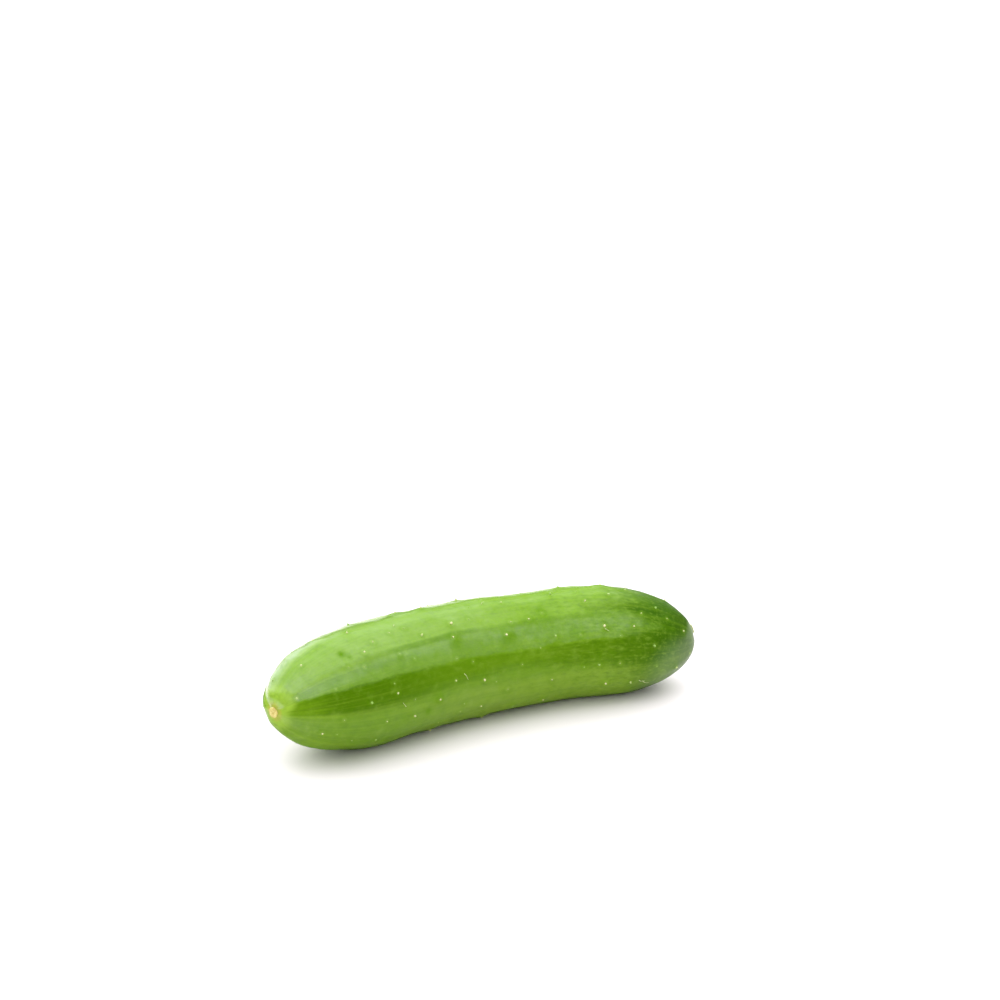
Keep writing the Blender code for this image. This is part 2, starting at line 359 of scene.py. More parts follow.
def add_piece(name, points, faces, facts=()):
    """A smooth mesh object from points and faces, with named vectors or numbers on its
    points for the finish to read."""
    mesh = bpy.data.meshes.new(name)
    mesh.from_pydata(points.tolist(), [], faces)
    for fact, values in dict(facts).items():
        kind, field = ("FLOAT", "value") if values.ndim == 1 else ("FLOAT_VECTOR", "vector")
        attribute = mesh.attributes.new(fact, kind, "POINT")
        attribute.data.foreach_set(field, values.astype(np.float32).ravel())
    mesh.validate()
    mesh.shade_smooth()
    piece = bpy.data.objects.new(name, mesh)
    bpy.context.scene.collection.objects.link(piece)
    low, high = points.min(axis=0) * 1000.0, points.max(axis=0) * 1000.0
    print(name, len(mesh.polygons), "faces, from", low.round(1), "to", high.round(1), "mm")
    return piece


# %% [markdown]
# ## The skin
# The skin is one surface of 400 rings. Beside its shape, each point keeps some facts that the
# finish reads: where it would be if the fruit were straight (so that mottling isn't squeezed
# on the inside of the bend), its direction round the fruit (so that streaks run from tip to
# tip and meet at the scar without a seam), its station, and how near it is to a ridge, to a
# wart's top, to a dark spot and to the stalk. A few warts have a dark ring, and a few small
# spots are dark without a wart. They are listed by station, angle, darkness and width. Three
# more facts change round the fruit: how far a point is below the upper edge of the band of
# shade that is painted on each flank, how far it is above that band's foot, and how much wax
# it has. The two edges are curves over the station, and the wax is a curve over the degrees
# from the top.

# %% Make the skin
RINGS = 400
SIDES = 232
TIP_CROWDING = 0.35
CAP_WIDTH = 0.55
DARK_SPOTS = (
    (0.536, 140, 0.55, 0.0022), (0.405, 135, 0.45, 0.0022), (0.395, 83, 0.35, 0.0016),
    (0.605, 129, 0.35, 0.0020), (0.341, 186, 0.75, 0.0015), (0.314, 196, 1.00, 0.0008),
    (0.143, 114, 1.00, 0.0010), (0.154, 121, 0.70, 0.0007), (0.640, 118, 0.40, 0.0022),
    (0.640, 132, 0.35, 0.0020), (0.750, 128, 0.45, 0.0013), (0.700, 146, 0.35, 0.0018),
    (0.520, 204, 0.30, 0.0008), (0.700, 196, 0.35, 0.0009), (0.250, 40, 0.60, 0.0012),
    (0.550, 20, 0.60, 0.0016), (0.450, 335, 0.55, 0.0012), (0.730, 350, 0.60, 0.0014),
)
# The band of painted shade on each flank: its upper edge and its foot, in degrees from the top,
# at stations along the fruit.
SHADE_BAND_TOP = ((0.02, 57.0), (0.07, 59.5), (0.14, 61.0), (0.28, 63.0), (0.43, 65.0), (0.57, 68.0),
             (0.71, 67.0), (0.79, 65.0), (0.86, 61.0), (0.93, 54.0))
SHADE_BAND_FOOT = ((0.05, 92.0), (0.24, 91.0), (0.35, 88.0), (0.57, 84.0), (0.71, 90.0), (0.80, 94.0))
WAX_AT = ((0, 0.22), (10, 0.46), (24, 0.78), (37, 0.70), (40, 0.56), (44, 1.0), (75, 1.0),
          (85, 0.40), (115, 0.36), (130, 0.16), (180, 0.05))


def skin_facts(turn, angle):
    """What the finish reads at each point of the skin."""
    station = np.interp(turn, outline_turn, outline_station)
    section = np.interp(turn, outline_turn, outline_section)
    caps = np.array([(*place[:2], 1.0, place[3] * CAP_WIDTH) for place in all_warts])
    spots = np.array([(np.interp(place, outline_station, outline_turn), math.radians(round_),
                       dark, width) for place, round_, dark, width in DARK_SPOTS])
    cap = bells(turn, angle, section, caps)
    spot = np.clip(bells(turn, angle, section, spots), 0.0, 1.0)
    from_top = np.degrees(np.abs(wrapped(angle - math.pi / 2.0)))
    shade_band_top = np.interp(station, *np.array(SHADE_BAND_TOP).T)
    shade_band_foot = np.interp(station, *np.array(SHADE_BAND_FOOT).T)
    wax = np.interp(from_top, *np.array(WAX_AT).T)
    unbent = straightened(turn, angle, section)
    aside, above = from_dimple(angle, section)
    # Nearness to the stalk's dimple, where the finish paints shade.
    stalk = np.exp(-(aside**2 + above**2) / DIMPLE_RADIUS**2) * (station > 0.5)
    return {
        "unbent": unbent,
        "spoke": np.stack([np.cos(angle), np.sin(angle), unbent[..., 0] / 100.0], axis=-1),
        "marks": np.stack([cap, spot, np.cos(rib_wave(angle))], axis=-1),
        "places": np.stack([station, stalk, from_top / 180.0], axis=-1),
        "bands": np.stack([(from_top - shade_band_top) / 180.0, (shade_band_foot - from_top) / 180.0,
                           wax], axis=-1),
    }


def make_skin():
    """The skin as rings between the two tips, closer together near the tips."""
    share = np.arange(1, RINGS + 1) / (RINGS + 1)
    turn = share - TIP_CROWDING * np.sin(2.0 * np.pi * share) / (2.0 * np.pi)
    angle = np.arange(SIDES) * 2.0 * np.pi / SIDES
    turns, angles = np.meshgrid(turn, angle, indexing="ij")
    turns = np.concatenate([turns.ravel(), [0.0, 1.0]])
    angles = np.concatenate([angles.ravel(), [0.0, 0.0]])
    return add_piece("skin", skin(turns, angles), ring_faces(1, RINGS, SIDES),
                     skin_facts(turns, angles))


skin_piece = make_skin()

# %% [markdown]
# ## Standing things on the skin
# A spine has to stand square on the skin wherever that is. The skin's formula gives two
# directions along it, by looking a little ahead and a little to the side, and their cross
# product is the way out. Whole arrays of places are done at once.

# %% Ways out of the skin
LOOK_ASIDE = 0.002
TIP_SHARE = 0.4


def unit(vectors):
    """Vectors made one long."""
    return vectors / np.linalg.norm(vectors, axis=-1, keepdims=True)


def stand(turn, angle):
    """Foot, way out of the skin, and two directions along it, at arrays of turn and angle."""
    ahead = unit(skin(turn + LOOK_ASIDE, angle) - skin(turn - LOOK_ASIDE, angle))
    around = skin(turn, angle + LOOK_ASIDE) - skin(turn, angle - LOOK_ASIDE)
    out = unit(np.cross(around, ahead))
    return skin(turn, angle), out, ahead, np.cross(out, ahead)


def bristles(name, feet, lengths, radii, leans, profile, sides, root, dry):
    """Many thin tapered bodies in one mesh, each standing on its foot.

    feet is what stand gives. The middle line of each is foot + length * (share * out +
    share squared * lean), from below the skin to the tip. profile holds shares of the length
    and of the radius, and the rings lie square to the way out.
    """
    foot, out, ahead, side = feet
    share, thick = np.array(profile).T
    share = np.concatenate([[-root], share])
    thick = np.concatenate([[thick[0]], thick])
    height = share[None, :, None] * lengths[:, None, None]
    bent = np.clip(share, 0.0, None)[None, :, None] ** 2 * lengths[:, None, None]
    line = foot[:, None] + height * out[:, None] + bent * leans[:, None]
    turn = np.arange(sides) * 2.0 * np.pi / sides
    spread = (np.cos(turn)[:, None] * ahead[:, None] + np.sin(turn)[:, None] * side[:, None])
    width = thick[None, :, None, None] * radii[:, None, None, None]
    rings = line[:, :, None] + width * spread[:, None]
    tips = line[:, -1] + (line[:, -1] - line[:, -2]) * TIP_SHARE
    points = ring_points(rings, line[:, 0], tips)
    dryness = np.repeat(dry, len(points) // len(foot))
    return add_piece(name, points, ring_faces(len(foot), len(share), sides),
                     {"dry": dryness})


# %% [markdown]
# ## Spines
# The spines of a picked cucumber are rubbed down to blunt cream dots, about half a millimetre
# high at most.
# A particle system could scatter them, but would be lost in an export, so each is a small
# rounded body of a few faces, all in one mesh. Small warts get smaller spines.

# %% Make the spines
SPINE_LENGTH = (0.0003, 0.0006)
SPINE_RADIUS = 0.00031
BOLD_SPINE = 1.05
SMALL_SPINE = 0.5
SPINE_LEAN, LEAN_SPREAD = 0.3, 0.6
SPINE_PROFILE = ((0.0, 1.0), (0.35, 0.94), (0.65, 0.80), (0.88, 0.54), (1.0, 0.26))
SPINE_SIZES = (0.55, 1.0)
SPINE_DRYNESS = (0.0, 0.7)
SPINE_SIDES = 8
SPINE_ROOT = 0.8
SPINE_SEED = 31

spread = np.random.default_rng(SPINE_SEED)
spine_count = len(all_warts)
rank = np.arange(spine_count)
size = np.where(rank < len(bold), BOLD_SPINE, np.where(rank < len(warts), 1.0, SMALL_SPINE))
size *= spread.uniform(*SPINE_SIZES, spine_count)
dryness = np.where(rank < len(bold), 1.0, spread.uniform(*SPINE_DRYNESS, spine_count))
spine_feet = stand(all_warts[:, 0], all_warts[:, 1])
spines = bristles("spines", spine_feet, size * spread.uniform(*SPINE_LENGTH, spine_count),
                  size * SPINE_RADIUS,
                  SPINE_LEAN * spread.normal(0.0, LEAN_SPREAD, (spine_count, 3)),
                  SPINE_PROFILE, SPINE_SIDES, SPINE_ROOT, dryness)

# %% [markdown]
# ## Stray hairs
# Here and there a withered hair still lies on the skin, a pale thread 1 to 2 mm long that has
# curled over. They are bristles again, but long, thin and strongly bent.

# %% Make the hairs
HAIRS = ((0.41, 168), (0.25, 184), (0.86, 209), (0.87, 212), (0.775, 146), (0.30, 100),
         (0.52, 95), (0.64, 60), (0.70, 20), (0.45, 350), (0.22, 15), (0.58, 330), (0.83, 340))
HAIR_LENGTH = (0.0010, 0.0018)
HAIR_RADIUS = 0.00009
HAIR_DRYNESS = 0.6
HAIR_CURL = 0.75
HAIR_SIDES = 5
HAIR_ROOT = 0.2
HAIR_PROFILE = tuple((share / 8.0, 1.0 - 0.5 * share / 8.0) for share in range(9))

places = np.array(HAIRS, dtype=float)
hair_turn = np.interp(places[:, 0], outline_station, outline_turn)
hair_feet = stand(hair_turn, np.radians(places[:, 1]))
over = spread.uniform(0.0, 2.0 * np.pi, (len(places), 1))
curl = np.cos(over) * hair_feet[2] + np.sin(over) * hair_feet[3] - HAIR_CURL * hair_feet[1]
hairs = bristles("hairs", hair_feet, spread.uniform(*HAIR_LENGTH, len(places)),
                 np.full(len(places), HAIR_RADIUS), curl, HAIR_PROFILE, HAIR_SIDES, HAIR_ROOT,
                 np.full(len(places), HAIR_DRYNESS))

# %% [markdown]
# ## The blossom scar
# Where the flower fell off, a disc of cork is left, about 3 mm across, rough and with a raised,
# uneven rim. It is a low button on the tip: rings that spread out over the skin and close
# underneath it. The roughness is a sum of waves in both directions round the disc, each listed
# by its height as a share, its crests round the disc, how it moves on outwards, and its phase.
# The waves of the edge are the same without the third number.

# %% Make the scar
SCAR_RINGS, SCAR_SIDES = 26, 56
SCAR_EDGE = 0.00138
SCAR_THICK = 0.00022
SCAR_ROOT = 0.0007
SCAR_TURNS_OVER = 0.56
DOME_SHARE = 0.45
RIM_SHARE, RIM_AT, RIM_WIDTH = 0.35, 0.78, 0.14
ROUGH_WAVES = ((0.12, 5.0, 9.0, 0.0), (0.10, 8.0, -14.0, 2.0), (0.08, 13.0, 21.0, 1.0))
EDGE_WAVES = ((0.06, 2.0, 0.5), (0.05, 5.0, 0.0), (0.03, 9.0, 0.0))


def button(name, place, edge, heights, radii, angle):
    """A body turned round the way out of the skin: at each ring, a radius times the edge's
    shape and a height, both arrays of rings and sides. place is a foot, the way out, and
    the directions of angles 0 and 90."""
    foot, out, first_way, second_way = place
    flat = (np.cos(angle)[None, :, None] * first_way
            + np.sin(angle)[None, :, None] * second_way)
    rings = foot + (radii * edge)[..., None] * flat + heights[..., None] * out
    first, last = rings[0].mean(axis=0), rings[-1].mean(axis=0)
    return add_piece(name, ring_points(rings[None], first[None], last[None]),
                     ring_faces(1, *heights.shape))


blossom_foot = skin(np.array([0.0]), np.array([0.0]))[0]
blossom_out = -np.array([math.cos(line_heading[0]), math.sin(line_heading[0]), 0.0])
straight_up = np.array([0.0, 0.0, 1.0])
blossom_tip = (blossom_foot, blossom_out, np.cross(straight_up, blossom_out), straight_up)

scar_angle = np.arange(SCAR_SIDES) * 2.0 * np.pi / SCAR_SIDES
way = np.linspace(0.0, 1.0, SCAR_RINGS)[:, None]
scar_radius = np.sin(np.pi * np.clip(way, 0.04, 0.97) ** 1.2)
under_skin = way < SCAR_TURNS_OVER
outer = np.where(under_skin, -SCAR_ROOT + SCAR_ROOT * way / SCAR_TURNS_OVER, 0.0)
dome = np.where(under_skin, 0.0, np.sqrt(np.clip(1.0 - scar_radius**2, 0.0, 1.0)))
on_top = way > 0.5
rim = RIM_SHARE * np.exp(-((scar_radius - RIM_AT) / RIM_WIDTH) ** 2) * on_top
rough = sum(rise * np.sin(around * scar_angle + outward * scar_radius + phase)
            for rise, around, outward, phase in ROUGH_WAVES) * on_top
scar_heights = outer + SCAR_THICK * (DOME_SHARE * dome + rim + rough * scar_radius)
scar_edge = SCAR_EDGE * sum((share * np.sin(around * scar_angle + phase)
                             for share, around, phase in EDGE_WAVES), 1.0)
scar_piece = button("blossom_scar", blossom_tip, scar_edge, scar_heights, scar_radius,
                    scar_angle)

# %% [markdown]
# ## The stub of the stalk
# At the other end a short stub of stalk stands in the dimple, ridged along its side, with a cut
# face that has dried a little hollow. The same turned body makes it, with a profile that runs
# up the side, over the rim and into the face. Its place is where the outline has the dimple's
# distance from the tip.

# %% Make the stub
STUB_SIDES = 60
STUB_PROFILE = (
    (-0.0012, 0.95), (-0.0004, 1.08), (0.0000, 1.16), (0.0002, 1.10), (0.0004, 1.01),
    (0.0006, 0.96), (0.0008, 0.94), (0.00095, 0.94), (0.00104, 0.90), (0.00108, 0.83),
    (0.00106, 0.74), (0.00100, 0.62), (0.00093, 0.48), (0.00090, 0.34), (0.00092, 0.18),
    (0.00094, 0.06),
)
STUB_RADIUS = 0.0015
STUB_RIDGES = ((0.05, 5.0, 0.0), (0.03, 11.0, 1.0))
FIBRE_RISE = 0.00004
CUT_TILT, CUT_WAY, CUT_FROM = 0.00012, 0.8, 0.0007

stem_half = outline_station > 0.5
stub_turn = np.interp(-math.hypot(DIMPLE_ASIDE, DIMPLE_UP), -outline_section[stem_half],
                      outline_turn[stem_half])
stub_place = stand(np.array([stub_turn]), np.array([math.atan2(DIMPLE_UP, DIMPLE_ASIDE)]))
stub_angle = np.arange(STUB_SIDES) * 2.0 * np.pi / STUB_SIDES
stub_height, stub_share = np.array(STUB_PROFILE).T
ridges = sum((share * np.cos(around * stub_angle + phase)
              for share, around, phase in STUB_RIDGES), 1.0)
stub_radius = stub_share[:, None] * ridges[None, :]
fibres = FIBRE_RISE * np.sin(9.0 * stub_angle + 3.0) * np.sin(16.0 * stub_share[:, None])
on_cut = stub_height[:, None] > CUT_FROM
tilt = CUT_TILT * stub_share[:, None] * np.cos(stub_angle - CUT_WAY) * on_cut
stub_heights = stub_height[:, None] + fibres + tilt
stub = button("stem_stub", [way[0] for way in stub_place], STUB_RADIUS, stub_heights,
              stub_radius, stub_angle)

# %% [markdown]
# ## Shader maths as Python
# A finish is a formula too: green times this, plus a little of that where the mask is high.
# Written with nodes by hand it takes many lines, so a small class stands for a node's output,
# and the usual signs between two of them add the Math nodes.

# %% A small language for finishes


class Term:
    """An output of a node in one material, which can stand in a Python expression."""

    def __init__(self, tree, socket=None):
        self.tree = tree
        self.socket = socket

    def node(self, kind, settings=None, values=None, output=0):
        """A new node's output. Settings are set first; values are numbers or Terms."""
        made = self.tree.nodes.new("ShaderNode" + kind)
        for name, setting in (settings or {}).items():
            if name == "stops":
                set_stops(made.color_ramp, setting)
            else:
                setattr(made, name, setting)
        for name, value in (values or {}).items():
            if isinstance(value, Term):
                self.tree.links.new(value.socket, made.inputs[name])
            else:
                made.inputs[name].default_value = value
        return Term(self.tree, made.outputs[output])

    def math(self, operation, first, second=0.0):
        """One Math node."""
        return self.node("Math", {"operation": operation}, {0: first, 1: second})

    def __add__(self, other):
        return self.math("ADD", self, other)

    def __radd__(self, other):
        return self.math("ADD", other, self)

    def __sub__(self, other):
        return self.math("SUBTRACT", self, other)

    def __rsub__(self, other):
        return self.math("SUBTRACT", other, self)

    def __mul__(self, other):
        return self.math("MULTIPLY", self, other)

    def between(self, low, high):
        """0 below low, 1 above high and a smooth rise between; the other way round if low
        is the higher."""
        return self.node("MapRange", {"interpolation_type": "SMOOTHSTEP"},
                         {"Value": self, "From Min": low, "From Max": high})

    def blend(self, first, second):
        """One colour where this is 0, the other where it is 1."""
        return self.node("Mix", {"data_type": "RGBA"}, {"Factor": self, 6: first, 7: second},
                         output=2)

    def stretched(self, along, across, up):
        """This vector with each direction multiplied."""
        return self.node("VectorMath", {"operation": "MULTIPLY"},
                         {0: self, 1: (along, across, up)})

    def noise(self, scale, detail=2.0, roughness=0.5):
        """Soft random values from 0 to 1 that change over this vector."""
        return self.node("TexNoise", None, {"Vector": self, "Scale": scale, "Detail": detail,
                                            "Roughness": roughness}, output="Fac")

    def bump(self, height, strength, before=None):
        """A normal that a height in metres gives, added to the normal before it."""
        values = {"Height": height, "Strength": strength, "Distance": 0.001}
        if before is not None:
            values["Normal"] = before
        return self.node("Bump", None, values)


def set_stops(ramp, stops):
    """Positions and colours of a colour ramp."""
    while len(ramp.elements) < len(stops):
        ramp.elements.new(0.5)
    for element, (position, colour) in zip(ramp.elements, stops):
        element.position = position
        element.color = colour


def paint(red, green, blue):
    """A colour that is named as a picture names it, from 0 to 255, as light."""
    shares = np.array([red, green, blue]) / 255.0
    light = np.where(shares <= 0.04045, shares / 12.92, ((shares + 0.055) / 1.055) ** 2.4)
    return (*light.tolist(), 1.0)


def new_finish(name, **fixed):
    """A material with its shader's constant values, and a Term to make its nodes with."""
    material = bpy.data.materials.new(name)
    material.use_nodes = True
    shader = material.node_tree.nodes["Principled BSDF"]
    for socket, value in fixed.items():
        shader.inputs[socket.replace("_", " ")].default_value = value
    return material, shader, Term(material.node_tree)


def connect(shader, **terms):
    """Leads Terms to the shader's sockets."""
    for socket, term in terms.items():
        name = socket.replace("_", " ")
        shader.id_data.links.new(term.socket, shader.inputs[name])


# %% [markdown]
# ## The finish of the skin
# The skin is a waxy green that lightens to yellow-green at the blossom end and deepens towards
# the stem. Painted shade runs in a darker band along both flanks. The top is painted lighter,
# as lit from above, and the lower side lighter, as lit by the floor. Thin lighter lines run out
# from the scar. Over that lie a fine mottling, some dark spots, and a grain near the stem. The
# greens are saturated and dark: much of what looks pale on a cucumber is light that its wax
# mirrors.

# %% Greens
TIP_GREEN = paint(146, 182, 58)
COLLAR_GREEN = paint(176, 172, 70)
BODY_GREEN = paint(101, 140, 16)
# Painted light: the lighter green of the top, as lit from above.
TOP_LIGHT_GREEN = paint(117, 156, 30)
# Painted shade: the dark green of the band along each flank.
FLANK_SHADE_GREEN = paint(74, 112, 2)
# Painted light: the lighter green below the flanks, as lit by the bright floor.
FLOOR_LIGHT_GREEN = paint(114, 148, 34)
STEM_GREEN = paint(54, 92, 4)
END_GREEN = paint(46, 70, 14)
LINE_GREEN = paint(134, 168, 44)
# Darker green of dark streaks and mottling, and of the shade painted in the upper grooves.
DARK_AND_GROOVE_SHADE_GREEN = paint(78, 118, 8)
SPOT_GREEN = paint(86, 130, 2)
# Pale green of blotches and grain, and of the highlight painted on wart tops.
PALE_AND_HIGHLIGHT_GREEN = paint(132, 164, 58)
# Painted sheen: a pale grey-green where the wax near the stem end mirrors the floor.
SHEEN_GREEN = paint(170, 188, 148)

skin_finish, skin_shader, make = new_finish(
    "waxy skin", IOR=1.46, Specular_IOR_Level=0.02, Coat_IOR=1.5, Coat_Roughness=0.17,
    Subsurface_Weight=0.08, Subsurface_Radius=(0.0012, 0.002, 0.0005), Subsurface_Scale=1.0)


def facts(name):
    """The three numbers of a vector that the skin's points keep."""
    vector = make.node("Attribute", {"attribute_name": name}, output="Vector")
    return [make.node("SeparateXYZ", None, {"Vector": vector}, output=axis) for axis in "XYZ"]


unbent = make.node("Attribute", {"attribute_name": "unbent"}, output="Vector")
spoke = make.node("Attribute", {"attribute_name": "spoke"}, output="Vector")
cap, spot, ridge = facts("marks")
station, stalk, from_top = facts("places")
into_shade_band, out_of_shade_band, wax = facts("bands")

# %% [markdown]
# The green goes from one end to the other with an uneven edge, so a little noise is added to
# the station before it picks the colour. The painted shade on the flanks is darkest towards
# the two ends.

# %% Colour along the fruit
uneven = (unbent.noise(0.10, 4.0, 0.6) - 0.5) * 0.14
ripe = station + uneven
# Painted light: the lower side is lighter, as lit by the floor, from about a third of the way
# along.
floor_lit_underside = from_top.between(0.49, 0.58) * station.between(0.18, 0.46)
ragged = (unbent.stretched(0.3, 1.0, 1.0).noise(0.4, 4.0, 0.6) - 0.5) * 0.06
# Painted light: the top, within some 40 degrees of it, is lighter, as lit from above.
lit_crown = (from_top + ragged).between(0.230, 0.195)
# Painted shade along each flank, between the band's upper edge and its foot.
flank_shade = ((into_shade_band + ragged).between(-0.014, 0.020)
         * (out_of_shade_band + ragged).between(-0.07, 0.06))
green = lit_crown.blend(floor_lit_underside.blend(BODY_GREEN, FLOOR_LIGHT_GREEN), TOP_LIGHT_GREEN)
streaks = spoke.stretched(9.0, 9.0, 1.0).noise(1.0, 4.0, 0.6)
flank_shade_share = (1.0 - station.between(0.16, 0.46) * 0.60 + station.between(0.58, 0.74) * 0.30
               - station.between(0.08, 0.01) * 0.25)
near_scar = station.between(0.13, 0.01)
streaky_flank_shade = flank_shade - near_scar * 0.62 + (streaks - 0.5) * (0.5 + near_scar * 2.0)
green = (streaky_flank_shade.between(0.2, 0.8) * flank_shade_share).blend(green, FLANK_SHADE_GREEN)
tip_reach = station + (streaks - 0.5) * 0.014 - from_top.between(0.46, 0.30) * 0.012
green = tip_reach.between(0.018, 0.002).blend(green, TIP_GREEN)
green = (station.between(0.0045, 0.0012) * 0.7).blend(green, COLLAR_GREEN)
# Painted sheen: a pale haze low on the stem end and round its tip, where the wax mirrors the
# bright floor at a grazing angle; it also thickens the coat there.
painted_sheen = ((from_top + station * 2.4 + station.between(0.972, 0.992) * 0.4).between(2.56, 2.80)
        * station.between(0.82, 0.93))
deep = (ripe + from_top.between(0.10, 0.18) * from_top.between(0.30, 0.22) * 0.05
        - from_top.between(0.18, 0.22) * from_top.between(0.34, 0.29) * 0.05)
green = (deep.between(0.76, 0.94) * (1.0 - painted_sheen * 0.3)).blend(green, STEM_GREEN)
green = (station.between(0.93, 0.98) * 0.45).blend(green, END_GREEN)

# %% [markdown]
# Streaks are noise that changes quickly round the fruit and slowly along it. The thin lighter
# lines run along the grooves, and fade out a third of the way from the scar. Further on,
# shade is painted into the upper grooves, so they are a little darker than the rest.

# %% Streaks, lines and painted groove shade
fine_streaks = spoke.stretched(26.0, 26.0, 2.6).noise(1.0, 3.0, 0.6)
near_blossom = station.between(0.36, 0.04)
green = (streaks.between(0.50, 0.72) * 0.22).blend(green, LINE_GREEN)
green = (streaks.between(0.50, 0.30) * 0.22).blend(green, DARK_AND_GROOVE_SHADE_GREEN)
green = (fine_streaks.between(0.50, 0.74) * (near_blossom * 0.18 + 0.12)).blend(
    green, LINE_GREEN)
green = (fine_streaks.between(0.50, 0.28) * (near_blossom * 0.14 + 0.06)).blend(
    green, DARK_AND_GROOVE_SHADE_GREEN)
line = ridge.between(-0.90, -1.0)
green = (line * near_blossom * 0.28).blend(green, LINE_GREEN)
# Painted shade in the upper grooves, fading past the middle.
groove_shade = (ridge.between(-0.86, -1.0) * station.between(0.14, 0.30) * from_top.between(0.42, 0.36)
          * (1.0 - station.between(0.34, 0.50) * 0.6))
green = (groove_shade * 0.5).blend(green, DARK_AND_GROOVE_SHADE_GREEN)

# %% [markdown]
# Mottling: blotches of a few millimetres, and a finer grain, which is strongest where the green
# gets deep near the stem. The dimple round the stalk is darker still: that is painted shade.
# Wart tops are painted paler, as a highlight of the wax, and a pale sheen is painted near the
# stem end.

# %% Mottling, grain and spots
blotches = unbent.noise(0.35, 4.0, 0.6)
green = (blotches.between(0.50, 0.72) * 0.24).blend(green, PALE_AND_HIGHLIGHT_GREEN)
green = (blotches.between(0.48, 0.30) * 0.24).blend(green, DARK_AND_GROOVE_SHADE_GREEN)
grain = unbent.stretched(0.35, 1.0, 1.0).noise(1.5, 3.0, 0.6)
near_stem = station.between(0.50, 0.82) * station.between(1.0, 0.90)
green = (grain.between(0.50, 0.70) * (near_stem * 0.22 + 0.08)).blend(green, PALE_AND_HIGHLIGHT_GREEN)
green = (grain.between(0.50, 0.32) * (near_stem * 0.22 + 0.08)).blend(green, STEM_GREEN)
green = (spot * 0.8).blend(green, SPOT_GREEN)
ring = cap.between(0.04, 0.30) * cap.between(0.75, 0.45)
green = (ring * 0.16).blend(green, SPOT_GREEN)
# Painted shade in the dimple round the stalk.
green = (stalk * 0.45).blend(green, STEM_GREEN)
# The painted sheen near the stem end.
green = (painted_sheen * 0.10).blend(green, SHEEN_GREEN)
# Painted highlight: the tops of the warts are paler, as their wax catches the light.
green = (cap.between(0.45, 0.95) * 0.36).blend(green, PALE_AND_HIGHLIGHT_GREEN)

# %% [markdown]
# The relief that is too fine for the mesh: wrinkles along the fruit, an orange-peel grain and
# the finest pits. The wax is a clear coat over it. It is thickest above the flanks, and thin
# on the spots, near the stem and where it is rubbed.

# %% Fine relief and gloss
wrinkles = spoke.stretched(30.0, 30.0, 5.0).noise(1.0, 4.0, 0.6)
peel = unbent.noise(1.1, 3.0, 0.55)
pits = unbent.noise(5.0, 2.0, 0.6)
relief = make.bump(peel, 0.09)
relief = make.bump(wrinkles, 0.08, relief)
relief = make.bump(pits, 0.02, relief)
rubbed = unbent.noise(0.5, 4.0, 0.6)
crossed = unbent.stretched(1.1, 0.12, 0.12).noise(1.0, 2.0, 0.5)
dull = 0.30 + rubbed * 0.2 + cap * 0.10
worn = (1.0 - station.between(0.46, 0.62) * 0.35 + station.between(0.09, 0.02) * 0.7
        + lit_crown * (station.between(0.30, 0.12) * 0.4 - station.between(0.30, 0.44) * 0.15))
bare = deep.between(0.90, 0.79)
broken = unbent.stretched(0.5, 1.0, 1.0).noise(0.75, 4.0, 0.7)
past_middle = station.between(0.34, 0.60)
patchy = (0.75 + (rubbed - 0.5) * (1.0 + past_middle * 0.9) + crossed * 0.5
          + (broken.between(0.34, 0.66) - 0.5) * (0.16 + past_middle * 0.34))
bare = bare * (1.0 - flank_shade) * (1.0 - spot) * (1.0 - ring * 0.2) * (1.0 - groove_shade * 0.4)
waxy = wax * worn * bare * patchy + painted_sheen * 0.36
connect(skin_shader, Base_Color=green, Roughness=dull, Normal=relief, Coat_Weight=waxy)
skin_piece.data.materials.append(skin_finish)
print("skin finish:", len(skin_finish.node_tree.nodes), "nodes")

# %% [markdown]
# ## Finishes of the small pieces
# Spines and hairs are dry and cream-coloured. The scar is cork, tan with brown cracks. The stub
# is pale green on its side and yellower on the cut. None of them is one flat colour: noise in
# the object's own coordinates, which are metres here, varies each.

# %% Spine, cork and stalk


def small_finish(name, colours, scale, roughness, bump, fact=None, **fixed):
    """A finish that goes between three colours by a noise of a given grain, in metres, or
    by a fact that the points keep."""
    material, shader, term = new_finish(name, Roughness=roughness, **fixed)
    place = term.node("TexCoord", output="Object")
    grain = place.noise(scale, 4.0, 0.6)
    chosen = grain
    if fact:
        chosen = term.node("Attribute", {"attribute_name": fact}, output="Fac")
        chosen = chosen * 0.8 + grain * 0.2
    stops = [(0.30, colours[0]), (0.5, colours[1]), (0.70, colours[2])]
    colour = term.node("ValToRGB", {"stops": stops}, {"Fac": chosen}, output="Color")
    connect(shader, Base_Color=colour, Normal=term.bump(grain, bump))
    return material


spine_finish = small_finish("dry spine", (paint(146, 182, 84), paint(190, 206, 128),
                                          paint(228, 224, 170)), 1500.0, 0.5, 0.15, "dry",
                            Subsurface_Weight=0.3,
                            Subsurface_Radius=(0.0006, 0.0006, 0.0004), Subsurface_Scale=1.0)
cork_finish = small_finish("cork", (paint(178, 154, 74), paint(212, 196, 112),
                                    paint(234, 224, 156)), 1400.0, 0.75, 0.4)
stalk_finish = small_finish("cut stalk", (paint(96, 116, 40), paint(150, 160, 76),
                                          paint(196, 200, 128)), 900.0, 0.6, 0.3)
for piece, finish in ((spines, spine_finish), (hairs, spine_finish),
                      (scar_piece, cork_finish), (stub, stalk_finish)):
    piece.data.materials.append(finish)

# %% [markdown]
# ## A plain studio
# A large pale floor under a soft tent of light. The tent is the world: brightest overhead,
# softer in front, and dark low down, as a room is beyond a lit table. The dark part, with the
# shade painted on the flanks, leaves the deep band of pure green along the front of the fruit,
# and a narrow soft shadow. Lamps could do it too, but their edges would show as hard lights in
# the wax.

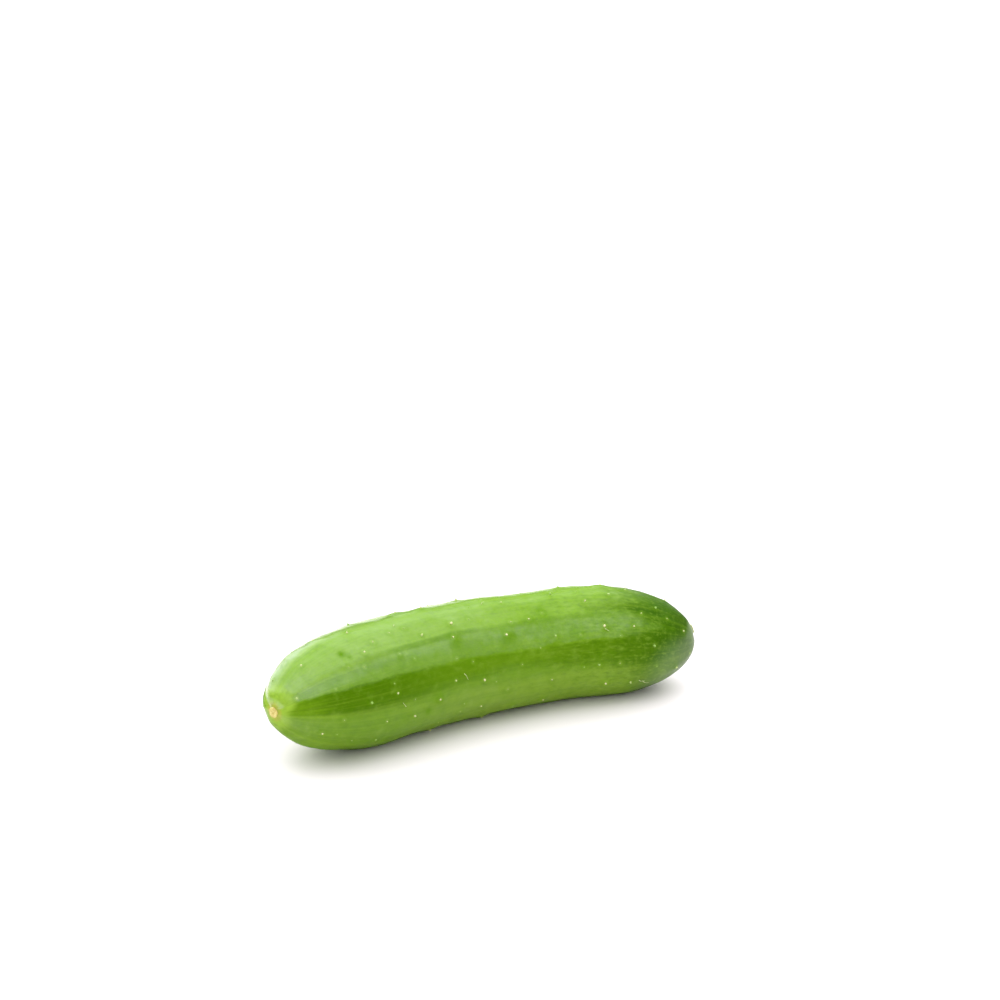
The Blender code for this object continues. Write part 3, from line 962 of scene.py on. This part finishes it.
# %% Floor
FLOOR_SIZE = 8.0
FLOOR_COLOUR = (0.97, 0.88, 0.90, 1.0)
FLOOR_ROUGHNESS = 0.6
floor_mesh = bpy.data.meshes.new("floor")
reach = FLOOR_SIZE / 2.0
floor_mesh.from_pydata([(-reach, -reach, 0.0), (reach, -reach, 0.0), (reach, reach, 0.0),
                        (-reach, reach, 0.0)], [], [(0, 1, 2, 3)])
floor = bpy.data.objects.new("floor", floor_mesh)
bpy.context.scene.collection.objects.link(floor)
floor_finish = new_finish("pale floor", Base_Color=FLOOR_COLOUR, Roughness=FLOOR_ROUGHNESS)[0]
floor_mesh.materials.append(floor_finish)

# %% Camera
AIM = (0.0777, 0.13615, 0.0)
CAMERA_AZIMUTH = -27.46
CAMERA_ELEVATION = 20.0
CAMERA_DISTANCE = 0.844
FOCAL_LENGTH = 100.0
SENSOR_WIDTH = 36.0


def direction(azimuth, elevation):
    """The way from the fruit to something seen from it: azimuth 0 is towards -Y, as for a
    camera that looks along +Y, and both are in degrees."""
    turn, rise = math.radians(azimuth), math.radians(elevation)
    return np.array([math.sin(turn) * math.cos(rise), -math.cos(turn) * math.cos(rise),
                     math.sin(rise)])


def look(thing, aim, azimuth, elevation, distance):
    """Puts a camera at a distance from its aim, and turns it to look at it."""
    way_back = Vector(direction(azimuth, elevation))
    thing.location = Vector(aim) + way_back * distance
    thing.rotation_euler = (-way_back).to_track_quat("-Z", "Y").to_euler()


camera = bpy.data.objects.new("camera", bpy.data.cameras.new("camera"))
camera.data.lens = FOCAL_LENGTH
camera.data.sensor_width = SENSOR_WIDTH
bpy.context.scene.collection.objects.link(camera)
look(camera, AIM, CAMERA_AZIMUTH, CAMERA_ELEVATION, CAMERA_DISTANCE)
bpy.context.scene.camera = camera

# %% [markdown]
# A direction's rise is its sine of elevation. The roof's edge is high in front and comes down
# behind and on the left. Under it in front hangs a wall of softer light, brightest towards the
# camera.

# %% Light
SKY_COLOUR = (0.95, 0.985, 1.0, 1.0)
ROOM_LIGHT = 0.08
ROOF_LIGHT, ROOF_EDGE = 2.25, (0.50, 0.62)
ROOF_FRONT, ROOF_BACK, ROOF_LEFT = 0.16, 0.36, 0.24
WALL_LIGHT, WALL_MORE, WALL_EDGE = 0.75, 1.2, (0.30, 0.39)
WALL_AZIMUTH, BRIGHT_AZIMUTH = CAMERA_AZIMUTH + 40.0, CAMERA_AZIMUTH + 5.0
world = bpy.data.worlds.new("tent")
world.use_nodes = True
bpy.context.scene.world = world
sky = Term(world.node_tree)
toward = sky.node("TexCoord", output="Generated")
rise = sky.node("SeparateXYZ", None, {"Vector": toward}, output="Z")


def facing(azimuth):
    """How much a direction of the sky faces an azimuth, from -1 to 1."""
    return sky.node("VectorMath", {"operation": "DOT_PRODUCT"},
                    {0: toward, 1: tuple(direction(azimuth, 0.0))}, output="Value")


front = facing(WALL_AZIMUTH).between(-0.25, 0.35)
back = facing(CAMERA_AZIMUTH + 180.0).between(0.1, 0.7)
left = facing(CAMERA_AZIMUTH - 120.0).between(0.55, 0.95)
roof = (rise - front * ROOF_FRONT + back * ROOF_BACK + left * ROOF_LEFT).between(*ROOF_EDGE)
wall_light = WALL_LIGHT + facing(BRIGHT_AZIMUTH).between(0.35, 0.95) * WALL_MORE
wall = rise.between(*WALL_EDGE) * front * wall_light
brightness = ROOM_LIGHT + roof * ROOF_LIGHT + (1.0 - roof) * wall
background = world.node_tree.nodes["Background"]
world.node_tree.links.new(brightness.socket, background.inputs["Strength"])
background.inputs["Color"].default_value = SKY_COLOUR

bpy.context.scene.view_settings.view_transform = "Standard"
bpy.context.scene.view_settings.look = "None"

# %% [markdown]
# ## Attaching the pieces
# Every piece rides on the fruit's one body, and the skin stands for the solid.

# %% Ride, replace and finish
for piece in (skin_piece, spines, hairs, scar_piece, stub):
    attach(piece, "root")
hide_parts(FRUIT_NODE)
